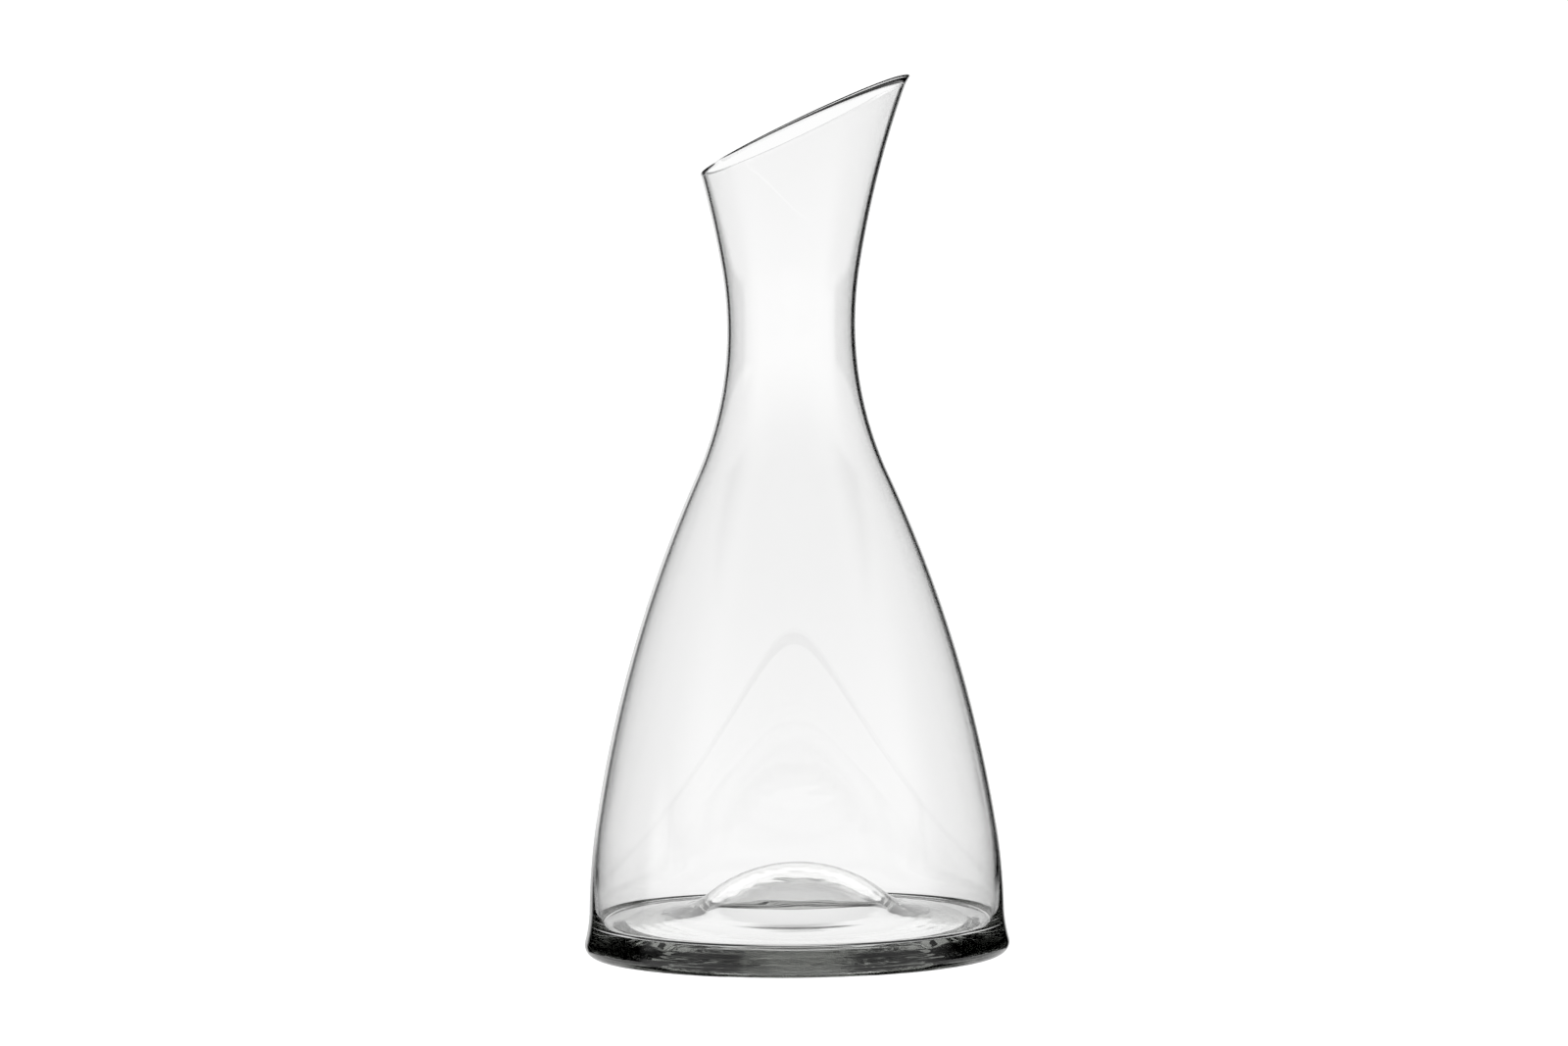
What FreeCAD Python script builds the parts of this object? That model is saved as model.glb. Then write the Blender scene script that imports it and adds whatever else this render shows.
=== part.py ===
import FreeCAD, Part
import math
import os
import Sketcher

# A mouth-blown wine decanter in clear glass: a broad, heavy foot with a raised centre (the punt),
# a body that draws in to a narrow throat, and a flared mouth that is cut off at a slant, so that
# its high side pours.  All of it is turned about the Z axis except for the slanted cut, whose high
# side points along +X.  Millimetres, resting on Z = 0.

doc = FreeCAD.newDocument("decanter")


# ---------------------------------------------------------------- the sizes

SIZES = [
    ("throat_radius", 20.95, "outside radius at the narrowest place"),
    ("throat_height", 205.0, "height of the narrowest place"),
    ("neck_sweep", 116.0, "radius of the hollow curve below the throat"),
    ("shoulder_height", 156.9, "where the hollow curve turns into the full one"),
    ("body_sweep", 438.0, "radius of the long full curve of the body"),
    ("hip_height", 44.2, "where the body curve tightens towards the foot"),
    ("hip_sweep", 212.5, "radius of the full curve just above the foot"),
    ("flare_height", 15.5, "where the foot starts to flare"),
    ("flare_sweep", 45.0, "radius of the hollow curve of the flare"),
    ("heel_round", 3.7, "radius of the rounded heel"),
    ("lip_turn", 123.5, "radius of the hollow curve just above the throat"),
    ("lip_turn_height", 225.2, "where that curve eases"),
    ("lip_sweep", 327.0, "radius of the easy curve up to the mouth"),
    ("mouth_height", 268.8, "height of the slanted cut at the axis"),
    ("mouth_slant", 25.24, "slant of the cut, in degrees"),
    ("rim_round", 0.4, "radius of the fire-polished rim"),
    ("wall", 1.1, "thickness of the blown wall"),
    ("inner_hip_sweep", 140.0, "radius inside the hip, less than outside: the wall thickens"),
    ("floor_height", 9.5, "lowest place of the inside floor, at the wall"),
    ("floor_corner", 2.0, "radius between the floor and the wall"),
    ("punt_height", 29.4, "height of the top of the punt, inside"),
    ("punt_dome", 44.0, "radius of the dome of the punt"),
    ("punt_foot", 24.0, "radius of the hollow curve round the dome"),
    ("punt_slope", 8.0, "slope of the floor from there down to the wall, in degrees"),
    ("kick_height", 24.0, "height of the hollow under the punt"),
    ("kick_dome", 40.0, "radius of the dome of that hollow"),
    ("kick_foot", 22.0, "radius of the curve round it, which follows the punt"),
    ("kick_slope", 8.0, "slope from there down to the resting ring, in degrees"),
    ("kick_across", 55.0, "where that slope meets the surface that the foot rests on"),
    ("kick_edge", 3.0, "radius of the edge between the slope and the resting ring"),
    ("punt_reach", 50.0, "radius where the punt meets the heavy base"),
    ("base_split", 20.0, "top of the heavy base"),
    ("body_split", 100.0, "where the lower body meets the upper body"),
    ("blank_height", 300.0, "height of the mouth before it is cut"),
]

sizes = doc.addObject("Spreadsheet::Sheet", "Sizes")
for row, (alias, value, meaning) in enumerate(SIZES, start=1):
    sizes.set(f"A{row}", alias)
    sizes.set(f"B{row}", str(value))
    sizes.setAlias(f"B{row}", alias)
    sizes.set(f"C{row}", meaning)
doc.recompute()


# ---------------------------------------------------------------- the outline

# Each place on the section has a radius (_r) and a height (_z), worked out from the sizes.
# Neighbouring curves share their normal where they meet, so the outline has no kinks.
# "out" is the outside of the glass and "in" the inside; "mid" values are centres of curves.

OUTLINE = []


def work_out(alias, formula):
    OUTLINE.append((alias, formula))


def size(name):
    return f"Sizes.{name}"


def on_circle(centre_r, centre_z, radius, height, outward):
    """Radius of a curve at a height; outward says on which side of its centre the glass is."""
    sign = "+" if outward else "-"
    return f"{centre_r} {sign} sqrt(({radius})^2 - ({height} - ({centre_z}))^2)"


def outline_side(side, inset):
    """The wall from the hip to the mouth, on one side of the glass; the inside lies inset deeper."""
    neck = f"({size('neck_sweep')} + {inset})"
    body = f"({size('body_sweep')} - {inset})"
    turn = f"({size('lip_turn')} + {inset})"
    lip = f"({size('lip_sweep')} + {inset})"
    work_out(f"throat_{side}_r", f"{size('throat_radius')} - {inset}")
    work_out(f"throat_{side}_z", size("throat_height"))
    for place, slope_r, slope_z in [("shoulder", "shoulder_n_r", "shoulder_n_z"),
                                    ("turn", "turn_n_r", "turn_n_z")]:
        centre = "neck_mid" if place == "shoulder" else "turn_mid"
        reach = neck if place == "shoulder" else turn
        work_out(f"{place}_{side}_r", f"{centre}_r + {reach} * {slope_r}")
        work_out(f"{place}_{side}_z", f"{centre}_z + {reach} * {slope_z}")
    work_out(f"hip_{side}_r", f"body_mid_r + {body} * hip_n_r")
    work_out(f"hip_{side}_z", f"body_mid_z + {body} * hip_n_z")
    work_out(f"body_split_{side}_r",
             on_circle("body_mid_r", "body_mid_z", body, size("body_split"), True))
    work_out(f"body_split_{side}_z", size("body_split"))
    work_out(f"blank_{side}_r", on_circle("lip_mid_r", "lip_mid_z", lip, size("blank_height"), False))
    work_out(f"blank_{side}_z", size("blank_height"))
    work_out(f"neck_{side}_sweep", neck)
    work_out(f"body_{side}_sweep", body)
    work_out(f"turn_{side}_sweep", turn)
    work_out(f"lip_{side}_sweep", lip)


# centres of the curves, and the normals (n) where they meet
work_out("neck_mid_r", f"{size('throat_radius')} + {size('neck_sweep')}")
work_out("neck_mid_z", size("throat_height"))
work_out("shoulder_n_z", f"({size('shoulder_height')} - {size('throat_height')}) / {size('neck_sweep')}")
work_out("shoulder_n_r", "-sqrt(1 - shoulder_n_z^2)")
work_out("body_mid_r", f"neck_mid_r + ({size('neck_sweep')} + {size('body_sweep')}) * shoulder_n_r")
work_out("body_mid_z", f"neck_mid_z + ({size('neck_sweep')} + {size('body_sweep')}) * shoulder_n_z")
work_out("hip_n_z", f"({size('hip_height')} - body_mid_z) / {size('body_sweep')}")
work_out("hip_n_r", "sqrt(1 - hip_n_z^2)")
work_out("turn_mid_r", f"{size('throat_radius')} + {size('lip_turn')}")
work_out("turn_mid_z", size("throat_height"))
work_out("turn_n_z", f"({size('lip_turn_height')} - {size('throat_height')}) / {size('lip_turn')}")
work_out("turn_n_r", "-sqrt(1 - turn_n_z^2)")
work_out("lip_mid_r", f"turn_mid_r + ({size('lip_turn')} - {size('lip_sweep')}) * turn_n_r")
work_out("lip_mid_z", f"turn_mid_z + ({size('lip_turn')} - {size('lip_sweep')}) * turn_n_z")

outline_side("out", "0")
outline_side("in", size("wall"))

# the outside of the hip, the flare and the heel
work_out("hip_out_mid_r", f"hip_out_r - {size('hip_sweep')} * hip_n_r")
work_out("hip_out_mid_z", f"hip_out_z - {size('hip_sweep')} * hip_n_z")
work_out("base_split_out_r",
         on_circle("hip_out_mid_r", "hip_out_mid_z", size("hip_sweep"), size("base_split"), True))
work_out("base_split_out_z", size("base_split"))
work_out("flare_n_z", f"({size('flare_height')} - hip_out_mid_z) / {size('hip_sweep')}")
work_out("flare_n_r", "sqrt(1 - flare_n_z^2)")
work_out("flare_out_r", f"hip_out_mid_r + {size('hip_sweep')} * flare_n_r")
work_out("flare_out_z", size("flare_height"))
work_out("flare_mid_r", f"flare_out_r + {size('flare_sweep')} * flare_n_r")
work_out("flare_mid_z", f"flare_out_z + {size('flare_sweep')} * flare_n_z")
work_out("heel_mid_r", on_circle("flare_mid_r", "flare_mid_z",
                                 f"{size('flare_sweep')} + {size('heel_round')}",
                                 size("heel_round"), False))
work_out("heel_share", f"{size('flare_sweep')} / ({size('flare_sweep')} + {size('heel_round')})")
work_out("heel_out_r", "flare_mid_r + (heel_mid_r - flare_mid_r) * heel_share")
work_out("heel_out_z", f"flare_mid_z + ({size('heel_round')} - flare_mid_z) * heel_share")

# the inside of the hip, and the corner of the floor
work_out("hip_in_mid_r", f"hip_in_r - {size('inner_hip_sweep')} * hip_n_r")
work_out("hip_in_mid_z", f"hip_in_z - {size('inner_hip_sweep')} * hip_n_z")
work_out("base_split_in_r",
         on_circle("hip_in_mid_r", "hip_in_mid_z", size("inner_hip_sweep"), size("base_split"), True))
work_out("base_split_in_z", size("base_split"))
work_out("corner_mid_z", f"{size('floor_height')} + {size('floor_corner')}")
work_out("corner_mid_r", on_circle("hip_in_mid_r", "hip_in_mid_z",
                                   f"{size('inner_hip_sweep')} - {size('floor_corner')}",
                                   "corner_mid_z", True))
work_out("corner_share",
         f"{size('inner_hip_sweep')} / ({size('inner_hip_sweep')} - {size('floor_corner')})")
work_out("corner_in_r", "hip_in_mid_r + (corner_mid_r - hip_in_mid_r) * corner_share")
work_out("corner_in_z", "hip_in_mid_z + (corner_mid_z - hip_in_mid_z) * corner_share")



def domed_side(name, dome_height, dome, foot, slope, skirt_r, skirt_z):
    """One side of the raised centre: a dome, a hollow foot round it and a skirt sloping outwards.

    The skirt starts at skirt_r, skirt_z.  The foot is tangent to the skirt and to the dome.
    """
    across = f"sin({slope} * 1 deg)"
    down = f"cos({slope} * 1 deg)"
    work_out(f"{name}_dome_mid_z", f"{dome_height} - {dome}")
    work_out(f"{name}_start_r", f"{skirt_r} + {foot} * {across}")
    work_out(f"{name}_start_z", f"{skirt_z} + {foot} * {down} - {name}_dome_mid_z")
    work_out(f"{name}_along", f"{name}_start_z * {across} - {name}_start_r * {down}")
    work_out(f"{name}_climb",
             f"-{name}_along - sqrt({name}_along^2 - {name}_start_r^2 - {name}_start_z^2"
             f" + ({dome} + {foot})^2)")
    work_out(f"{name}_foot_mid_r", f"{name}_start_r - {name}_climb * {down}")
    work_out(f"{name}_foot_mid_z",
             f"{name}_dome_mid_z + {name}_start_z + {name}_climb * {across}")
    work_out(f"{name}_skirt_r", f"{name}_foot_mid_r - {foot} * {across}")
    work_out(f"{name}_skirt_z", f"{name}_foot_mid_z - {foot} * {down}")
    work_out(f"{name}_share", f"{dome} / ({dome} + {foot})")
    work_out(f"{name}_foot_r", f"{name}_foot_mid_r * {name}_share")
    work_out(f"{name}_foot_z",
             f"{name}_dome_mid_z + ({name}_foot_mid_z - {name}_dome_mid_z) * {name}_share")
    work_out(f"{name}_reach_r", size("punt_reach"))
    work_out(f"{name}_reach_z",
             f"{skirt_z} + ({skirt_r} - {size('punt_reach')}) * tan({slope} * 1 deg)")


# the punt inside: the floor runs from the corner up to it
work_out("corner_low_r",
         f"corner_mid_r - {size('floor_corner')} * sin({size('punt_slope')} * 1 deg)")
work_out("corner_low_z",
         f"corner_mid_z - {size('floor_corner')} * cos({size('punt_slope')} * 1 deg)")
domed_side("punt", size("punt_height"), size("punt_dome"), size("punt_foot"), size("punt_slope"),
           "corner_low_r", "corner_low_z")

# the hollow kicked up under it, and the rounded edge down to the resting ring
domed_side("kick", size("kick_height"), size("kick_dome"), size("kick_foot"), size("kick_slope"),
           size("kick_across"), "0")
work_out("edge_turn", f"{size('kick_edge')} * tan({size('kick_slope')} * 0.5 deg)")
work_out("kick_rim_r", f"{size('kick_across')} - edge_turn * cos({size('kick_slope')} * 1 deg)")
work_out("kick_rim_z", f"edge_turn * sin({size('kick_slope')} * 1 deg)")
work_out("ring_mid_r", f"{size('kick_across')} + edge_turn")

outline = doc.addObject("Spreadsheet::Sheet", "Outline")
for row, (alias, formula) in enumerate(OUTLINE, start=1):
    outline.set(f"A{row}", alias)
    outline.setAlias(f"B{row}", alias)
    outline.set(f"B{row}", f"={formula}")
doc.recompute()


def value(alias):
    """The number in a cell of either sheet."""
    sheet = outline if alias in dict(OUTLINE) else sizes
    return float(sheet.get(alias))


def cell(alias):
    """The reference to a cell, for an expression."""
    return f"Outline.{alias}" if alias in dict(OUTLINE) else f"Sizes.{alias}"


# ---------------------------------------------------------------- sections and solids

LINE = "line"
ON_AXIS = "on the axis"
ON_GROUND = "on the ground"


def origin_plane(body, role):
    for feature in body.Origin.OriginFeatures:
        if feature.Role == role:
            return feature
    raise RuntimeError(f"{body.Label} has no {role}")


def section_sketch(body, name):
    """A sketch in the upright plane through the axis: its X is the radius and its Y the height."""
    sketch = body.newObject("Sketcher::SketchObject", name)
    sketch.AttachmentSupport = [(origin_plane(body, "XZ_Plane"), "")]
    sketch.MapMode = "FlatFace"
    return sketch


def place(radius, height):
    """A corner of a section: names of the cells with its radius and height."""
    across = 0.0 if radius is ON_AXIS else value(radius)
    up = 0.0 if height is ON_GROUND else value(height)
    return {"radius": radius, "height": height, "point": FreeCAD.Vector(across, up, 0)}


def spot(name):
    return place(f"{name}_r", f"{name}_z")


def arc_between(start, end, radius, left):
    """The short arc between two points, with its centre to the left or right of the way there."""
    chord = end - start
    middle = (start + end) * 0.5
    rise = math.sqrt(radius ** 2 - (chord.Length / 2) ** 2)
    side = FreeCAD.Vector(-chord.y, chord.x, 0).normalize() * (rise if left else -rise)
    centre = middle + side
    first, last = (start, end) if left else (end, start)
    angles = [math.atan2(p.y - centre.y, p.x - centre.x) for p in (first, last)]
    circle = Part.Circle(centre, FreeCAD.Vector(0, 0, 1), radius)
    return Part.ArcOfCircle(circle, angles[0], angles[1])


def bind(sketch, constraint, name, alias):
    """Adds a constraint, gives it a name and ties it to a cell."""
    index = sketch.addConstraint(constraint)
    sketch.renameConstraint(index, name)
    sketch.setExpression(f"Constraints.{name}", cell(alias))


def draw_section(sketch, corners, sides):
    """Draws a closed section: sides[i] joins corner i to the next, a LINE or (sweep cell, left)."""
    count = len(corners)
    starts = []
    for i, shape in enumerate(sides):
        start = corners[i]["point"]
        end = corners[(i + 1) % count]["point"]
        if shape is LINE:
            sketch.addGeometry(Part.LineSegment(start, end), False)
            starts.append((1, 2))
        else:
            sweep, left = shape
            sketch.addGeometry(arc_between(start, end, value(sweep), left), False)
            starts.append((1, 2) if left else (2, 1))
    for i in range(count):
        following = (i + 1) % count
        sketch.addConstraint(Sketcher.Constraint("Coincident", i, starts[i][1],
                                                 following, starts[following][0]))
    axis_line = -2
    ground_line = -1
    origin = (-1, 1)
    for i, corner in enumerate(corners):
        end = starts[i][0]
        if corner["radius"] is ON_AXIS:
            sketch.addConstraint(Sketcher.Constraint("PointOnObject", i, end, axis_line))
        else:
            across = Sketcher.Constraint("DistanceX", *origin, i, end, corner["point"].x)
            bind(sketch, across, f"radius_{i}", corner["radius"])
        if corner["height"] is ON_GROUND:
            sketch.addConstraint(Sketcher.Constraint("PointOnObject", i, end, ground_line))
        else:
            up = Sketcher.Constraint("DistanceY", *origin, i, end, corner["point"].y)
            bind(sketch, up, f"height_{i}", corner["height"])
    for i, shape in enumerate(sides):
        if shape is not LINE:
            sweep = shape[0]
            bind(sketch, Sketcher.Constraint("Radius", i, value(sweep)), f"sweep_{i}", sweep)


def turned_body(label, corners, sides):
    """One region of the glass, turned about the axis from its section."""
    body = doc.addObject("PartDesign::Body", label)
    body.Label = label
    sketch = section_sketch(body, f"{label}_section")
    draw_section(sketch, corners, sides)
    doc.recompute()
    turning = body.newObject("PartDesign::Revolution", f"{label}_turning")
    turning.Profile = sketch
    turning.ReferenceAxis = (sketch, ["V_Axis"])
    turning.Angle = 360
    doc.recompute()
    return body


def make_punt():
    """The raised centre of the base, with the hollow that follows it underneath."""
    corners = [
        place(ON_AXIS, "kick_height"),
        spot("kick_foot"),
        spot("kick_skirt"),
        spot("kick_reach"),
        spot("punt_reach"),
        spot("punt_skirt"),
        spot("punt_foot"),
        place(ON_AXIS, "punt_height"),
    ]
    sides = [("kick_dome", False), ("kick_foot", True), LINE, LINE,
             LINE, ("punt_foot", False), ("punt_dome", True), LINE]
    return turned_body("punt", corners, sides)


def make_heavy_base():
    """The thick foot: the resting ring, the rounded heel, the flare and the corner of the floor."""
    corners = [
        spot("kick_reach"),
        spot("kick_rim"),
        place("ring_mid_r", ON_GROUND),
        place("heel_mid_r", ON_GROUND),
        spot("heel_out"),
        spot("flare_out"),
        spot("base_split_out"),
        spot("base_split_in"),
        spot("corner_in"),
        spot("corner_low"),
        spot("punt_reach"),
    ]
    sides = [LINE, ("kick_edge", True), LINE, ("heel_round", True), ("flare_sweep", False),
             ("hip_sweep", True), LINE, ("inner_hip_sweep", False), ("floor_corner", False),
             LINE, LINE]
    return turned_body("heavy_base", corners, sides)


def make_lower_body():
    """The widest part of the wall, which thins upwards from the base."""
    corners = [
        spot("base_split_out"),
        spot("hip_out"),
        spot("body_split_out"),
        spot("body_split_in"),
        spot("hip_in"),
        spot("base_split_in"),
    ]
    sides = [("hip_sweep", True), ("body_out_sweep", True), LINE,
             ("body_in_sweep", False), ("inner_hip_sweep", False), LINE]
    return turned_body("lower_body", corners, sides)


def make_upper_body():
    """The wall that draws in towards the shoulder."""
    corners = [
        spot("body_split_out"),
        spot("shoulder_out"),
        spot("shoulder_in"),
        spot("body_split_in"),
    ]
    sides = [("body_out_sweep", True), LINE, ("body_in_sweep", False), LINE]
    return turned_body("upper_body", corners, sides)


def make_neck():
    """The hollow-curved neck with the throat."""
    corners = [
        spot("shoulder_out"),
        spot("throat_out"),
        spot("turn_out"),
        spot("turn_in"),
        spot("throat_in"),
        spot("shoulder_in"),
    ]
    sides = [("neck_out_sweep", False), ("turn_out_sweep", False), LINE,
             ("turn_in_sweep", True), ("neck_in_sweep", True), LINE]
    return turned_body("neck", corners, sides)


def make_pouring_mouth():
    """The flared mouth, blown tall and then cut off at a slant; its rim is fire-polished."""
    corners = [
        spot("turn_out"),
        spot("blank_out"),
        spot("blank_in"),
        spot("turn_in"),
    ]
    sides = [("lip_out_sweep", False), LINE, ("lip_in_sweep", True), LINE]
    body = turned_body("pouring_mouth", corners, sides)
    blank_volume = body.Shape.Volume

    # everything above the slanted line is cut away, right through the mouth
    beyond = 2 * value("blank_out_r")
    slope = math.tan(math.radians(value("mouth_slant")))
    middle = value("mouth_height")
    top = value("blank_height") + beyond
    left_foot = FreeCAD.Vector(-beyond, middle - beyond * slope, 0)
    right_foot = FreeCAD.Vector(beyond, middle + beyond * slope, 0)
    sketch = section_sketch(body, "mouth_cut_section")
    around = [left_foot, right_foot, FreeCAD.Vector(beyond, top, 0), FreeCAD.Vector(-beyond, top, 0)]
    for i, start in enumerate(around):
        sketch.addGeometry(Part.LineSegment(start, around[(i + 1) % 4]), False)
    for i in range(4):
        sketch.addConstraint(Sketcher.Constraint("Coincident", i, 2, (i + 1) % 4, 1))
    sketch.addConstraint(Sketcher.Constraint("Vertical", 1))
    sketch.addConstraint(Sketcher.Constraint("Vertical", 3))
    sketch.addConstraint(Sketcher.Constraint("Horizontal", 2))
    crossing = sketch.addGeometry(Part.Point(FreeCAD.Vector(0, middle, 0)), True)
    sketch.addConstraint(Sketcher.Constraint("PointOnObject", crossing, 1, -2))
    sketch.addConstraint(Sketcher.Constraint("PointOnObject", crossing, 1, 0))
    bind(sketch, Sketcher.Constraint("DistanceY", -1, 1, crossing, 1, middle),
         "cut_height", "mouth_height")
    slant = Sketcher.Constraint("Angle", 0, math.radians(value("mouth_slant")))
    index = sketch.addConstraint(slant)
    sketch.renameConstraint(index, "cut_slant")
    sketch.setExpression("Constraints.cut_slant", "Sizes.mouth_slant * 1 deg")
    sketch.addConstraint(Sketcher.Constraint("DistanceX", 3, 2, -1, 1, beyond))
    sketch.addConstraint(Sketcher.Constraint("DistanceX", -1, 1, 1, 1, beyond))
    sketch.addConstraint(Sketcher.Constraint("DistanceY", -1, 1, 2, 1, top))
    doc.recompute()
    cut = body.newObject("PartDesign::Pocket", "mouth_cut")
    cut.Profile = sketch
    cut.Type = "ThroughAll"
    cut.Midplane = True
    doc.recompute()
    most_left_after_cut = 0.98
    if body.Shape.Volume > most_left_after_cut * blank_volume:
        raise RuntimeError("the slanted cut took nothing off the mouth")

    # the two edges of the cut face melt round in the flame
    flat = max(range(len(cut.Shape.Faces)),
               key=lambda i: cut.Shape.Faces[i].CenterOfMass.z)
    rim = body.newObject("PartDesign::Fillet", "fire_polished_rim")
    rim.Base = (cut, [f"Face{flat + 1}"])
    rim.setExpression("Radius", "Sizes.rim_round")
    doc.recompute()
    return body


# ---------------------------------------------------------------- build, test and write

pieces = [make_punt(), make_heavy_base(), make_lower_body(),
          make_upper_body(), make_neck(), make_pouring_mouth()]

doc.recompute()
for thing in doc.Objects:
    for state in ("Invalid", "Error"):
        if state in thing.State:
            raise RuntimeError(f"{thing.Label} is {state}")
for piece in pieces:
    if piece.Shape.isNull() or not piece.Shape.isValid() or len(piece.Shape.Solids) != 1:
        raise RuntimeError(f"{piece.Label} has no sound solid")

os.makedirs("parts", exist_ok=True)
for piece in pieces:
    piece.Shape.exportStep(f"parts/{piece.Label}.step")
    box = piece.Shape.optimalBoundingBox(False)
    print(f"{piece.Label}: {piece.Shape.Volume / 1000:.1f} cm3, "
          f"Z {box.ZMin:.2f} to {box.ZMax:.2f}, X {box.XMin:.2f} to {box.XMax:.2f}")
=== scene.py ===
import math

import bpy
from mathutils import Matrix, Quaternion, Vector, noise


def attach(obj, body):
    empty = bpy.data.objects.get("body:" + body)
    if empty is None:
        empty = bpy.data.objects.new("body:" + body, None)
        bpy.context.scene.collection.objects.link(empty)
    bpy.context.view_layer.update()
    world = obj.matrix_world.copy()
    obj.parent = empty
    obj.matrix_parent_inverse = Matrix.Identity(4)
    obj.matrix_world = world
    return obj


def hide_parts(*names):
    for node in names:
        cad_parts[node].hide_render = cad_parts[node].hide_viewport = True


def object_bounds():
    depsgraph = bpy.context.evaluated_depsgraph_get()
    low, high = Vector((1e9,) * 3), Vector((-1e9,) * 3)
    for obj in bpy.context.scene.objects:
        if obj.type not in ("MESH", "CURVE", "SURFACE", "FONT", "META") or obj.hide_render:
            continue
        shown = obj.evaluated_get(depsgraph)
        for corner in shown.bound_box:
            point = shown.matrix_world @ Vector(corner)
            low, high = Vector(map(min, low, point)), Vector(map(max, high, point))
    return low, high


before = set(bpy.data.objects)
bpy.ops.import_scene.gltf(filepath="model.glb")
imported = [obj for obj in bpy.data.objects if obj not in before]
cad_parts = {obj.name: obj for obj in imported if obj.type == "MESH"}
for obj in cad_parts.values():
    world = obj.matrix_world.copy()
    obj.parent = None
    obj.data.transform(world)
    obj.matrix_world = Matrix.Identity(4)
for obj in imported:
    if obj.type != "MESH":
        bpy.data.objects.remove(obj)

cad_low, cad_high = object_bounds()

# A mouth-blown decanter in clear glass.  The vessel is one unbroken surface: from the axis under the
# foot, round the heel, up the outside, over the rim and down the inside to the top of the punt.
# Sections are in millimetres as (radius from the axis, height); MM turns them into metres.

MM = 0.001


# ---------------------------------------------------------------- the glassmaker's sizes

MOUTH_TIP = cad_high.z / MM

THROAT_RADIUS = 20.95
THROAT_HEIGHT = 205.0
NECK_SWEEP = 116.0
SHOULDER_HEIGHT = 156.9
BODY_SWEEP = 438.0
HIP_HEIGHT = 44.2
HIP_SWEEP = 212.5
FLARE_HEIGHT = 15.5
FLARE_SWEEP = 45.0
HEEL_ROUND = 3.7
LIP_TURN = 123.5
LIP_TURN_HEIGHT = 225.2
LIP_SWEEP = 327.0
MOUTH_HEIGHT = 268.8
MOUTH_SLANT = math.tan(math.radians(25.24))
WALL = 1.1
INNER_HIP_SWEEP = 140.0
FLOOR_HEIGHT = 9.5
FLOOR_CORNER = 2.0
PUNT_HEIGHT = 29.4
PUNT_DOME = 44.0
PUNT_FOOT = 24.0
PUNT_SLOPE = math.radians(8.0)
KICK_HEIGHT = 24.0
KICK_DOME = 40.0
KICK_FOOT = 22.0
KICK_SLOPE = math.radians(8.0)
KICK_ACROSS = 55.0
KICK_EDGE = 3.0

# the melted rim rises to a half round, this share of the wall's thickness high
RIM_MELT = 0.42
RIM_STEPS = 10

# the unevenness of hand-blown glass: slow waves in the wall, drawn out along its height
WALL_WAVE = 0.05
WALL_WAVE_LENGTH = 45.0
WALL_WAVE_SQUEEZE = 0.5
WALL_WAVE_EASE = 20.0

# and in the base, fine rings that drift round the axis, and chill marks
RING_DEPTH = 0.02
RING_SPACING = 3.7
RING_DRIFTS = ((0.8, 3.0, 0.0), (0.5, 7.0, 1.0))     # amount, lobes round the axis, turn
CHILL_DEPTH = 0.02
CHILL_LENGTH = 7.0
SMOOTH_CENTRE = 12.0
SMOOTH_EDGE = 3.0
FLOOR_TURN = 1.0                                     # keeps the floor's marks off those below it


# ---------------------------------------------------------------- curves of the section

class Curve:
    """An arc of the section about a centre."""

    def __init__(self, centre, radius):
        self.centre = Vector(centre)
        self.radius = radius

    def at_height(self, height, outward):
        """The arc's point at a height, on the side away from the axis or towards it."""
        across = math.sqrt(self.radius ** 2 - (height - self.centre.y) ** 2)
        return Vector((self.centre.x + (across if outward else -across), height))

    def at_normal(self, normal):
        return self.centre + self.radius * normal

    def normal_at(self, height, outward):
        return (self.at_height(height, outward) - self.centre).normalized()

    def inset(self, amount):
        """The same arc on the other side of the wall."""
        return Curve(self.centre, self.radius + amount)

    def run(self, start, end, count):
        """Evenly spaced points along the short way from start to end, without the end itself."""
        first = math.atan2(start.y - self.centre.y, start.x - self.centre.x)
        last = math.atan2(end.y - self.centre.y, end.x - self.centre.x)
        turn = (last - first + math.pi) % (2 * math.pi) - math.pi
        return [self.centre + self.radius * Vector((math.cos(first + turn * i / count),
                                                    math.sin(first + turn * i / count)))
                for i in range(count)]


def line_run(start, end, count):
    return [start.lerp(end, i / count) for i in range(count)]


def same_bend(curve, normal, radius):
    """The curve that carries on from a point of another and bends the same way."""
    return Curve(curve.at_normal(normal) - normal * radius, radius)


def other_bend(curve, normal, radius):
    """The curve that carries on from a point of another and bends the other way."""
    return Curve(curve.at_normal(normal) + normal * radius, radius)


def off_skirt(slope):
    """The direction square to a skirt that falls outwards at a slope."""
    return Vector((math.sin(slope), math.cos(slope)))


def foot_of(dome, skirt_point, slope, radius):
    """The hollow curve that carries a dome over into a skirt falling outwards at a slope."""
    uphill = Vector((-math.cos(slope), math.sin(slope)))
    start = skirt_point + off_skirt(slope) * radius - dome.centre
    along = start.dot(uphill)
    reach = dome.radius + radius
    climb = -along - math.sqrt(along ** 2 - start.length_squared + reach ** 2)
    return Curve(dome.centre + start + uphill * climb, radius)


def where_touching(dome, foot):
    return dome.centre.lerp(foot.centre, dome.radius / (dome.radius + foot.radius))


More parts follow.
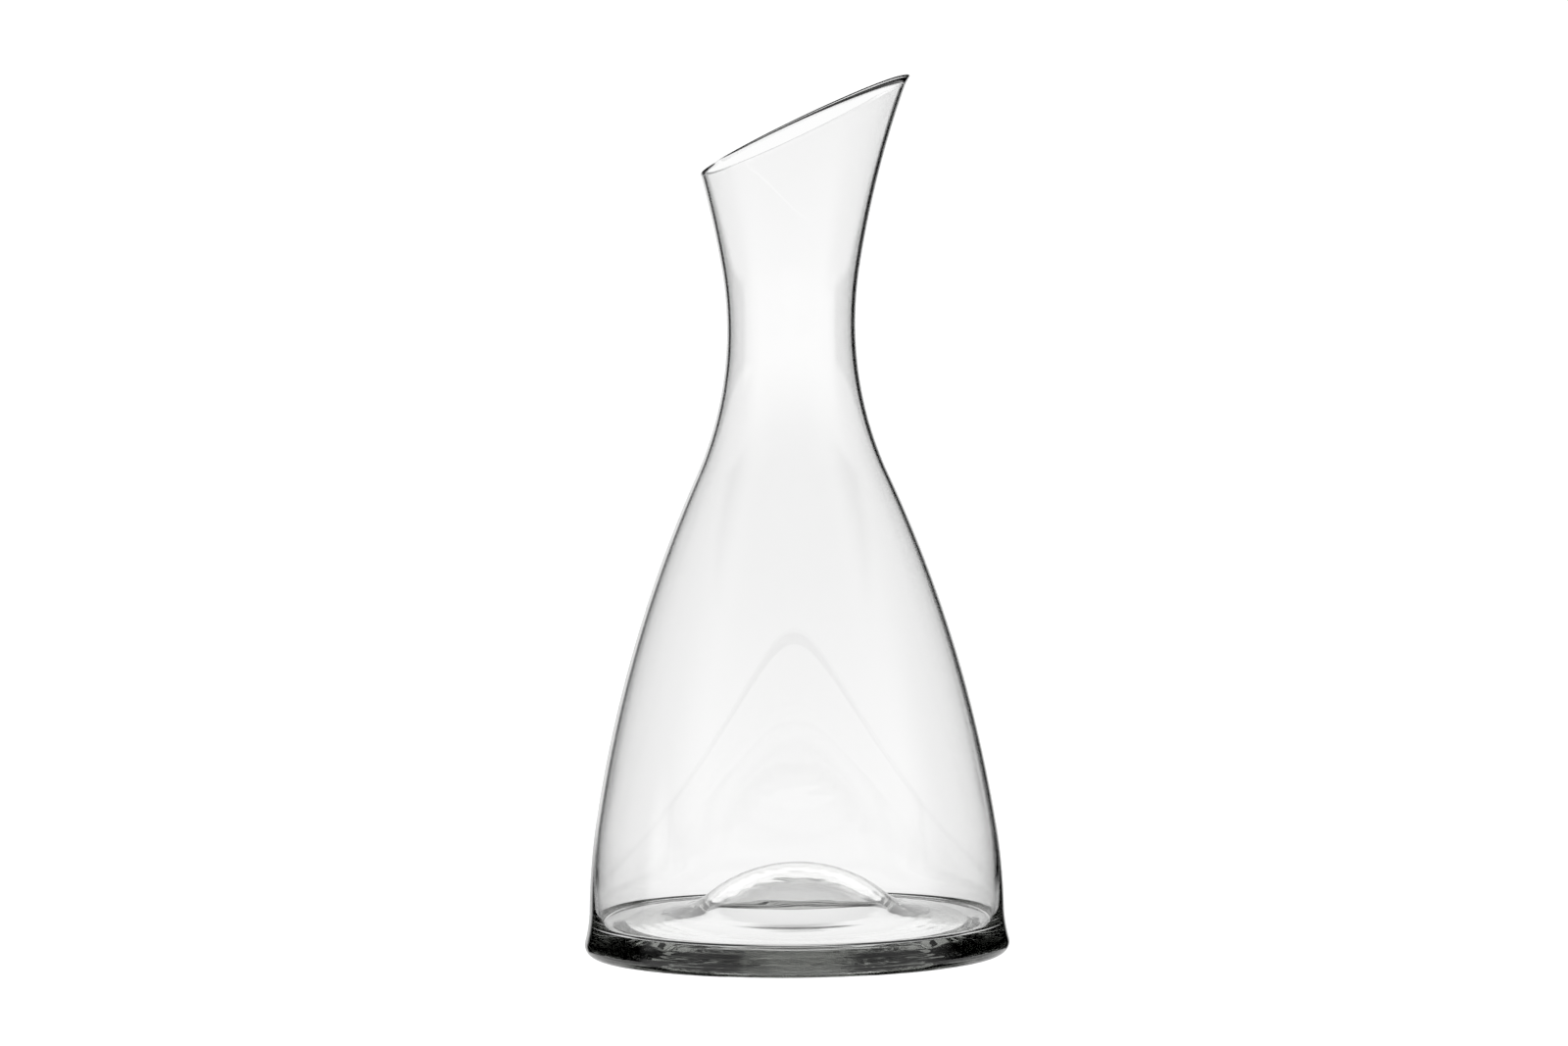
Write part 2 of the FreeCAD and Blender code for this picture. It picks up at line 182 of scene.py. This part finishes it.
neck_curve = Curve((THROAT_RADIUS + NECK_SWEEP, THROAT_HEIGHT), NECK_SWEEP)
shoulder_normal = neck_curve.normal_at(SHOULDER_HEIGHT, False)
body_curve = other_bend(neck_curve, shoulder_normal, BODY_SWEEP)
hip_normal = body_curve.normal_at(HIP_HEIGHT, True)
hip_curve = same_bend(body_curve, hip_normal, HIP_SWEEP)
flare_normal = hip_curve.normal_at(FLARE_HEIGHT, True)
flare_curve = other_bend(hip_curve, flare_normal, FLARE_SWEEP)
turn_curve = Curve((THROAT_RADIUS + LIP_TURN, THROAT_HEIGHT), LIP_TURN)
turn_normal = turn_curve.normal_at(LIP_TURN_HEIGHT, False)
lip_curve = same_bend(turn_curve, turn_normal, LIP_SWEEP)

# the heel rolls under, tangent to the flare and to the surface that the foot rests on
heel_reach = FLARE_SWEEP + HEEL_ROUND
heel_across = math.sqrt(heel_reach ** 2 - (HEEL_ROUND - flare_curve.centre.y) ** 2)
heel_curve = Curve((flare_curve.centre.x - heel_across, HEEL_ROUND), HEEL_ROUND)
heel_top = flare_curve.centre.lerp(heel_curve.centre, FLARE_SWEEP / heel_reach)

# inside, the wall keeps its thickness down to the hip and gains from there to the floor
inner_body = body_curve.inset(-WALL)
inner_hip = same_bend(inner_body, hip_normal, INNER_HIP_SWEEP)
corner_reach = Curve(inner_hip.centre, INNER_HIP_SWEEP - FLOOR_CORNER)
corner_curve = Curve(corner_reach.at_height(FLOOR_HEIGHT + FLOOR_CORNER, True), FLOOR_CORNER)
corner_top = corner_curve.at_normal((corner_curve.centre - inner_hip.centre).normalized())
corner_low = corner_curve.at_normal(-off_skirt(PUNT_SLOPE))

# the punt: a dome, a hollow foot round it and a floor that falls gently to the wall
punt_dome = Curve((0.0, PUNT_HEIGHT - PUNT_DOME), PUNT_DOME)
punt_foot = foot_of(punt_dome, corner_low, PUNT_SLOPE, PUNT_FOOT)
punt_skirt = punt_foot.at_normal(-off_skirt(PUNT_SLOPE))
punt_dome_edge = where_touching(punt_dome, punt_foot)

# the hollow kicked up under it follows the same shape, down to a small edge round the resting ring
kick_dome = Curve((0.0, KICK_HEIGHT - KICK_DOME), KICK_DOME)
kick_foot = foot_of(kick_dome, Vector((KICK_ACROSS, 0.0)), KICK_SLOPE, KICK_FOOT)
kick_skirt = kick_foot.at_normal(-off_skirt(KICK_SLOPE))
kick_dome_edge = where_touching(kick_dome, kick_foot)
edge_turn = KICK_EDGE * math.tan(KICK_SLOPE / 2)
kick_rim = Vector((KICK_ACROSS - edge_turn * math.cos(KICK_SLOPE),
                   edge_turn * math.sin(KICK_SLOPE)))
edge_curve = Curve((KICK_ACROSS + edge_turn, KICK_EDGE), KICK_EDGE)


# ---------------------------------------------------------------- the vessel

AROUND = 288
HALVINGS = 40
UP = Vector((0.0, 1.0))
OUTWARDS = Vector((1.0, 0.0))


def under_foot():
    """Section points of the underside, from the axis to where the heel begins to roll up."""
    ring_inner = Vector((edge_curve.centre.x, 0.0))
    ring_outer = Vector((heel_curve.centre.x, 0.0))
    points = kick_dome.run(Vector((0.0, KICK_HEIGHT)), kick_dome_edge, count=40)
    points += kick_foot.run(kick_dome_edge, kick_skirt, count=18)
    points += line_run(kick_skirt, kick_rim, count=12)
    points += edge_curve.run(kick_rim, ring_inner, count=3)
    points += line_run(ring_inner, ring_outer, count=12)
    return points[1:]


def outside_below_mouth():
    """Section points from the heel up the outside to where the lip begins."""
    ring_outer = Vector((heel_curve.centre.x, 0.0))
    flare_top = hip_curve.at_normal(flare_normal)
    hip_top = body_curve.at_normal(hip_normal)
    shoulder = body_curve.at_normal(-shoulder_normal)
    throat = Vector((THROAT_RADIUS, THROAT_HEIGHT))
    lip_start = turn_curve.at_normal(turn_normal)
    points = heel_curve.run(ring_outer, heel_top, count=14)
    points += flare_curve.run(heel_top, flare_top, count=10)
    points += hip_curve.run(flare_top, hip_top, count=20)
    points += body_curve.run(hip_top, shoulder, count=70)
    points += neck_curve.run(shoulder, throat, count=34)
    points += turn_curve.run(throat, lip_start, count=14)
    return points


def inside_below_mouth():
    """Section points from where the lip begins down the inside to the corner of the floor."""
    lip_start = turn_curve.inset(WALL).at_normal(turn_normal)
    throat = Vector((THROAT_RADIUS - WALL, THROAT_HEIGHT))
    shoulder = inner_body.at_normal(-shoulder_normal)
    hip_top = inner_body.at_normal(hip_normal)
    points = turn_curve.inset(WALL).run(lip_start, throat, count=14)
    points += neck_curve.inset(WALL).run(throat, shoulder, count=34)
    points += inner_body.run(shoulder, hip_top, count=70)
    points += inner_hip.run(hip_top, corner_top, count=24)
    points += corner_curve.run(corner_top, corner_low, count=8)
    return points


def over_punt():
    """Section points of the inside floor, from its corner up to the top of the punt."""
    points = line_run(corner_low, punt_skirt, count=18)
    points += punt_foot.run(punt_skirt, punt_dome_edge, count=16)
    points += punt_dome.run(punt_dome_edge, Vector((0.0, PUNT_HEIGHT)), count=36)
    return points


def cut_point(curve, heading):
    """Where the slanted cut meets a side of the lip, at a heading round the axis."""
    low = LIP_TURN_HEIGHT
    high = MOUTH_TIP + 20.0
    for _ in range(HALVINGS):
        height = (low + high) / 2
        point = curve.at_height(height, False)
        if height < MOUTH_HEIGHT + MOUTH_SLANT * point.x * math.cos(heading):
            low = height
        else:
            high = height
    return point


def mouth_run(heading):
    """Section points up the outside of the lip, round the melted rim and down the inside."""
    inner_lip = lip_curve.inset(WALL)
    outer_start = turn_curve.at_normal(turn_normal)
    inner_start = turn_curve.inset(WALL).at_normal(turn_normal)
    outer_cut = cut_point(lip_curve, heading)
    inner_cut = cut_point(inner_lip, heading)
    across = outer_cut - inner_cut
    middle = (outer_cut + inner_cut) / 2
    up = Vector((-across.y, across.x)).normalized()
    melt = across.length * RIM_MELT
    outer_top = lip_curve.at_height(outer_cut.y - melt, False)
    inner_top = inner_lip.at_height(inner_cut.y - melt, False)
    points = lip_curve.run(outer_start, outer_top, count=30)
    for i in range(RIM_STEPS + 1):
        swing = math.pi * i / RIM_STEPS
        side = across * 0.5 * math.cos(swing)
        points.append(middle - up * melt + side + up * melt * math.sin(swing))
    points += inner_lip.run(inner_top, inner_start, count=30)
    return points


def eased(distance, length):
    """0 at a join, rising smoothly to 1 at a length from it."""
    share = max(0.0, min(1.0, distance / length))
    return share * share * (3.0 - 2.0 * share)


def base_unevenness(radius, heading, widest):
    """Height to add to the glass of the base: fine rings from the turning, and chill marks."""
    spot = Vector((radius * math.cos(heading), radius * math.sin(heading), 0.0))
    drift = sum(amount * math.sin(lobes * heading + turn) for amount, lobes, turn in RING_DRIFTS)
    rings = math.sin(2.0 * math.pi * radius / RING_SPACING + drift)
    marks = noise.noise(spot / CHILL_LENGTH)
    depth = RING_DEPTH * (1.0 + rings) + CHILL_DEPTH * (1.0 + marks)
    return depth * eased(radius, SMOOTH_CENTRE) * eased(widest - radius, SMOOTH_EDGE)


def wall_unevenness(point, heading):
    """Distance to add to the radius inside the wall: slow waves, longer up it than round it."""
    spot = Vector((point.x * math.cos(heading), point.x * math.sin(heading),
                   point.y * WALL_WAVE_SQUEEZE))
    above_floor = eased(point.y - FLOOR_HEIGHT, WALL_WAVE_EASE)
    below_lip = eased(LIP_TURN_HEIGHT - point.y, WALL_WAVE_EASE)
    return WALL_WAVE * noise.noise(spot / WALL_WAVE_LENGTH) * (above_floor * below_lip)


def vessel_section(below, outside, inside, floor, heading):
    """The section at a heading, from beside the axis underneath to beside it on the punt."""
    ring_outer = heel_curve.centre.x
    section = [p + UP * base_unevenness(p.x, heading, ring_outer) for p in below]
    section += outside
    section += mouth_run(heading)
    section += [p + OUTWARDS * wall_unevenness(p, heading) for p in inside]
    turned = heading + FLOOR_TURN
    section += [p - UP * base_unevenness(p.x, turned, corner_low.x) for p in floor]
    return section


def vessel_faces(rows):
    """Quads between neighbouring sections of so many rows, closed by a fan at each end."""
    top = 1 + AROUND * rows
    faces = []
    for step in range(AROUND):
        here = 1 + step * rows
        there = 1 + (step + 1) % AROUND * rows
        faces.append((0, there, here))
        for row in range(rows - 1):
            faces.append((here + row, there + row, there + row + 1, here + row + 1))
        faces.append((here + rows - 1, there + rows - 1, top))
    return faces


def vessel_mesh():
    plain_parts = (under_foot(), outside_below_mouth(), inside_below_mouth(), over_punt())
    vertices = [(0.0, 0.0, KICK_HEIGHT * MM)]
    for step in range(AROUND):
        heading = 2 * math.pi * step / AROUND
        section = vessel_section(*plain_parts, heading)
        for point in section:
            vertices.append((point.x * math.cos(heading) * MM, point.x * math.sin(heading) * MM,
                             point.y * MM))
    vertices.append((0.0, 0.0, PUNT_HEIGHT * MM))
    mesh = bpy.data.meshes.new("glass_vessel")
    mesh.from_pydata(vertices, [], vessel_faces(len(section)))
    mesh.validate()
    mesh.shade_smooth()
    return mesh


# ---------------------------------------------------------------- materials

GLASS_INDEX = 1.52
GLASS_TINT = (0.898, 0.90, 0.896, 1.0)
GLASS_DEPTH = 120.0

# cords in the glass: how much they turn the surface (m), how close they lie, how far they are drawn out
CORD_DEPTH = 0.000004
CORD_SCALE = 25.0
CORD_DETAIL = 1.5
CORD_ROUGHNESS = 0.4
CORD_SQUEEZE = (1.0, 1.0, 0.3)

# the painted edge shade: where it starts and is full, from face on (0) to edge on (1), and how dark it
# gets
PAINTED_SHADE_START = 0.78
PAINTED_SHADE_FULL = 0.87
PAINTED_SHADE_DARKEST = 0.25

FLOOR_GLOW = 1.1
FLOOR_ROUGHNESS = 0.9
FLOOR_TONES = (0.78, 0.82)
GRAIN_SCALE = 90.0
GRAIN_DETAIL = 4.0


def start_material(name):
    material = bpy.data.materials.new(name)
    material.use_nodes = True
    return material, material.node_tree.nodes, material.node_tree.links


def add_cords(nodes, links, shader):
    """Faint streaks, drawn out along the height as the gather was blown."""
    where = nodes.new("ShaderNodeTexCoord")
    drawn_out = nodes.new("ShaderNodeMapping")
    drawn_out.inputs["Scale"].default_value = CORD_SQUEEZE
    links.new(where.outputs["Object"], drawn_out.inputs["Vector"])
    cords = nodes.new("ShaderNodeTexNoise")
    cords.inputs["Scale"].default_value = CORD_SCALE
    cords.inputs["Detail"].default_value = CORD_DETAIL
    cords.inputs["Roughness"].default_value = CORD_ROUGHNESS
    links.new(drawn_out.outputs["Vector"], cords.inputs["Vector"])
    bump = nodes.new("ShaderNodeBump")
    bump.inputs["Strength"].default_value = 1.0
    bump.inputs["Distance"].default_value = CORD_DEPTH
    links.new(cords.outputs["Fac"], bump.inputs["Height"])
    links.new(bump.outputs["Normal"], shader.inputs["Normal"])


def add_painted_edge_shade(nodes, links, shader):
    """Painted shade: seen along its surface the glass's colour is darkened, standing in for the dark
    surroundings it would show.
    """
    facing = nodes.new("ShaderNodeLayerWeight")
    facing.inputs["Blend"].default_value = 0.5
    painted_edge_shade = nodes.new("ShaderNodeMapRange")
    painted_edge_shade.interpolation_type = "SMOOTHSTEP"
    painted_edge_shade.inputs["From Min"].default_value = PAINTED_SHADE_START
    painted_edge_shade.inputs["From Max"].default_value = PAINTED_SHADE_FULL
    painted_edge_shade.inputs["To Min"].default_value = 1.0
    painted_edge_shade.inputs["To Max"].default_value = PAINTED_SHADE_DARKEST
    links.new(facing.outputs["Facing"], painted_edge_shade.inputs["Value"])
    # painted shade: a darker base colour where the glass is seen edge on
    links.new(painted_edge_shade.outputs["Result"], shader.inputs["Base Color"])


def clear_glass():
    """Smooth clear glass that takes up a little light in its depth, so the base is the darkest."""
    material, nodes, links = start_material("clear_glass")
    shader = nodes["Principled BSDF"]
    shader.inputs["Metallic"].default_value = 0.0
    shader.inputs["Roughness"].default_value = 0.0
    shader.inputs["IOR"].default_value = GLASS_INDEX
    shader.inputs["Transmission Weight"].default_value = 1.0
    add_cords(nodes, links, shader)
    # painted edge shade in the glass colour, darker where the surface is seen edge on
    add_painted_edge_shade(nodes, links, shader)
    absorption = nodes.new("ShaderNodeVolumeAbsorption")
    absorption.inputs["Color"].default_value = GLASS_TINT
    absorption.inputs["Density"].default_value = GLASS_DEPTH
    links.new(absorption.outputs["Volume"], nodes["Material Output"].inputs["Volume"])
    return material


def pale_floor():
    """A white floor with a fine grain, bright enough to meet the backdrop without a line."""
    material, nodes, links = start_material("pale_floor")
    shader = nodes["Principled BSDF"]
    shader.inputs["Roughness"].default_value = FLOOR_ROUGHNESS
    shader.inputs["Specular IOR Level"].default_value = 0.0
    shader.inputs["Emission Color"].default_value = (1.0, 1.0, 1.0, 1.0)
    shader.inputs["Emission Strength"].default_value = FLOOR_GLOW
    grain = nodes.new("ShaderNodeTexNoise")
    grain.inputs["Scale"].default_value = GRAIN_SCALE
    grain.inputs["Detail"].default_value = GRAIN_DETAIL
    tone = nodes.new("ShaderNodeValToRGB")
    for stop, grey in zip(tone.color_ramp.elements, FLOOR_TONES):
        stop.color = (grey, grey, grey, 1.0)
    links.new(grain.outputs["Fac"], tone.inputs["Fac"])
    links.new(tone.outputs["Color"], shader.inputs["Base Color"])
    return material


# ---------------------------------------------------------------- making the pieces

def make_vessel():
    vessel = bpy.data.objects.new("glass_vessel", vessel_mesh())
    bpy.context.scene.collection.objects.link(vessel)
    vessel.data.materials.append(clear_glass())
    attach(vessel, "root")
    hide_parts("heavy_base", "punt", "lower_body", "upper_body", "neck", "pouring_mouth")


def make_floor():
    """A flat square just below the foot.  The glass isn't to show it, so only the viewer sees it."""
    half = 1.5
    drop = 0.0002
    mesh = bpy.data.meshes.new("floor")
    mesh.from_pydata([(-half, -half, -drop), (half, -half, -drop), (half, half, -drop),
                      (-half, half, -drop)], [], [(0, 1, 2, 3)])
    floor = bpy.data.objects.new("floor", mesh)
    bpy.context.scene.collection.objects.link(floor)
    mesh.materials.append(pale_floor())
    floor.visible_transmission = False
    floor.visible_glossy = False


# ---------------------------------------------------------------- studio

# Light by direction, in degrees.  Headings run from +Y towards +X, and rises from level upwards.
# A window is fully bright within its clear angle of its heading, and fades out beyond it.
BACK_HEADING = -15.0
BACK_CLEAR = 14.0
BACK_FADE = 8.0

# a wider and brighter window higher up at the back, which lights the punt
UPPER_HEADING = -12.0
UPPER_CLEAR = 24.0
UPPER_FADE = 12.0
UPPER_START = 8.0
UPPER_FULL = 16.0
UPPER_GLOW = 1.35

# a low narrow window at one side
SIDE_HEADING = -114.0
SIDE_CLEAR = 8.0
SIDE_FADE = 12.0
SIDE_TOP = 4.0
SIDE_GONE = 14.0

# above this rise, the windows at the back and side have ended
WINDOWS_TOP = 36.0
WINDOWS_GONE = 42.0

# a broad window opposite the back one, which evens out the reflections in the wall
FRONT_HEADING = BACK_HEADING + 180.0
FRONT_CLEAR = 60.0
FRONT_FADE = 35.0
FRONT_TOP = 5.0
FRONT_GONE = 40.0

# the bright table, from just below level down to its near edge
TABLE_TOP = -9.5
TABLE_FULL = -13.0
TABLE_END = -33.0
TABLE_GONE = -39.0
TABLE_GLOW = 0.97

BACKDROP_GLOW = 1.1


def sine(degrees):
    return math.sin(math.radians(degrees))


class DomeNodes:
    """Shader values that follow the direction which the light comes from."""

    def __init__(self, tree):
        self.nodes = tree.nodes
        self.links = tree.links
        direction = self.nodes.new("ShaderNodeTexCoord").outputs["Generated"]
        parts = self.nodes.new("ShaderNodeSeparateXYZ")
        self.links.new(direction, parts.inputs[0])
        self.rise = parts.outputs["Z"]
        flat = self.vector_math("MULTIPLY", direction, (1.0, 1.0, 0.0))
        self.level = self.vector_math("NORMALIZE", flat.outputs["Vector"]).outputs["Vector"]

    def vector_math(self, operation, first, second=None):
        node = self.nodes.new("ShaderNodeVectorMath")
        node.operation = operation
        self.links.new(first, node.inputs[0])
        if second is not None:
            node.inputs[1].default_value = second
        return node

    def number_math(self, operation, first, second=None):
        node = self.nodes.new("ShaderNodeMath")
        node.operation = operation
        self.links.new(first, node.inputs[0])
        if isinstance(second, float):
            node.inputs[1].default_value = second
        elif second is not None:
            self.links.new(second, node.inputs[1])
        return node.outputs[0]

    def ramp(self, value, start, end, at_start, at_end):
        """A smooth change from one number to another as the value goes from start to end."""
        node = self.nodes.new("ShaderNodeMapRange")
        node.interpolation_type = "SMOOTHSTEP"
        self.links.new(value, node.inputs["Value"])
        node.inputs["From Min"].default_value = start
        node.inputs["From Max"].default_value = end
        node.inputs["To Min"].default_value = at_start
        node.inputs["To Max"].default_value = at_end
        return node.outputs["Result"]

    def by_rise(self, start, end, at_start, at_end):
        return self.ramp(self.rise, sine(start), sine(end), at_start, at_end)

    def by_heading(self, heading, clear, fade):
        """1 within clear degrees of a heading, and 0 beyond clear + fade."""
        turn = math.radians(heading)
        facing = self.vector_math("DOT_PRODUCT", self.level, (math.sin(turn), math.cos(turn), 0.0))
        nearness = self.number_math("MINIMUM", facing.outputs["Value"], 1.0)
        away = self.number_math("ARCCOSINE", nearness)
        return self.ramp(away, math.radians(clear), math.radians(clear + fade), 1.0, 0.0)


def dome_glow(dome):
    """How bright the light is in each direction."""
    both = dome.number_math
    back = dome.by_heading(BACK_HEADING, BACK_CLEAR, BACK_FADE)
    upper = both("MULTIPLY", dome.by_heading(UPPER_HEADING, UPPER_CLEAR, UPPER_FADE),
                 dome.by_rise(UPPER_START, UPPER_FULL, 0.0, UPPER_GLOW))
    side = both("MULTIPLY", dome.by_heading(SIDE_HEADING, SIDE_CLEAR, SIDE_FADE),
                dome.by_rise(SIDE_TOP, SIDE_GONE, 1.0, 0.0))
    front = both("MULTIPLY", dome.by_heading(FRONT_HEADING, FRONT_CLEAR, FRONT_FADE),
                 dome.by_rise(FRONT_TOP, FRONT_GONE, 1.0, 0.0))
    windows = both("MAXIMUM", both("MAXIMUM", back, side), upper)
    windows = both("MULTIPLY", windows, dome.by_rise(WINDOWS_TOP, WINDOWS_GONE, 1.0, 0.0))
    table = dome.by_rise(TABLE_FULL, TABLE_TOP, TABLE_GLOW, 0.0)
    lit = both("MULTIPLY", both("MAXIMUM", windows, table),
               dome.by_rise(TABLE_GONE, TABLE_END, 0.0, 1.0))
    return both("MAXIMUM", lit, front)


def light_dome():
    """Soft light from windows and a table, which the glass shows; the backdrop is plain white."""
    world = bpy.data.worlds.new("studio")
    bpy.context.scene.world = world
    world.use_nodes = True
    nodes = world.node_tree.nodes
    links = world.node_tree.links
    nodes.clear()
    glow = dome_glow(DomeNodes(world.node_tree))
    rays = nodes.new("ShaderNodeLightPath")
    seen = nodes.new("ShaderNodeMix")
    seen.data_type = "FLOAT"
    links.new(rays.outputs["Is Camera Ray"], seen.inputs[0])
    links.new(glow, seen.inputs[2])
    seen.inputs[3].default_value = BACKDROP_GLOW
    background = nodes.new("ShaderNodeBackground")
    background.inputs["Color"].default_value = (1.0, 1.0, 1.0, 1.0)
    links.new(seen.outputs[0], background.inputs["Strength"])
    output = nodes.new("ShaderNodeOutputWorld")
    links.new(background.outputs[0], output.inputs["Surface"])


# the viewpoint, in metres and degrees: where it looks along, and what is at the middle of the view
LOOK_HEADING = math.radians(-12.0)
LOOK_DOWN = math.radians(6.89)
LOOK_DISTANCE = 2.4
VESSEL_MIDDLE = Vector((0.0, 0.0, 0.1376))
AIM_LEFT = 0.00297
AIM_UP = Vector((0.0, 0.0, 0.00363))
ROLL = math.radians(0.56)
SENSOR_WIDTH = 36.0
WIDTH_IN_VIEW = 0.512


def make_camera():
    away = Vector((math.sin(LOOK_HEADING), math.cos(LOOK_HEADING), 0.0))
    right = Vector((away.y, -away.x, 0.0))
    height = LOOK_DISTANCE * math.sin(LOOK_DOWN)
    position = -away * LOOK_DISTANCE * math.cos(LOOK_DOWN) + Vector((0.0, 0.0, height))
    aim = VESSEL_MIDDLE - right * AIM_LEFT + AIM_UP
    lens_camera = bpy.data.cameras.new("camera")
    lens_camera.sensor_width = SENSOR_WIDTH
    lens_camera.lens = SENSOR_WIDTH * (VESSEL_MIDDLE - position).length / WIDTH_IN_VIEW
    camera = bpy.data.objects.new("camera", lens_camera)
    bpy.context.scene.collection.objects.link(camera)
    camera.location = position
    track = (aim - position).to_track_quat("-Z", "Y")
    camera.rotation_mode = "QUATERNION"
    camera.rotation_quaternion = track @ Quaternion((0, 0, 1), -ROLL)
    bpy.context.scene.camera = camera


def set_up_picture():
    """Enough bounces for light to find its way through the thick base."""
    scene = bpy.context.scene
    scene.view_settings.view_transform = "Standard"
    scene.cycles.max_bounces = 32
    scene.cycles.glossy_bounces = 24
    scene.cycles.transmission_bounces = 32


make_camera()
light_dome()
make_floor()
make_vessel()
set_up_picture()
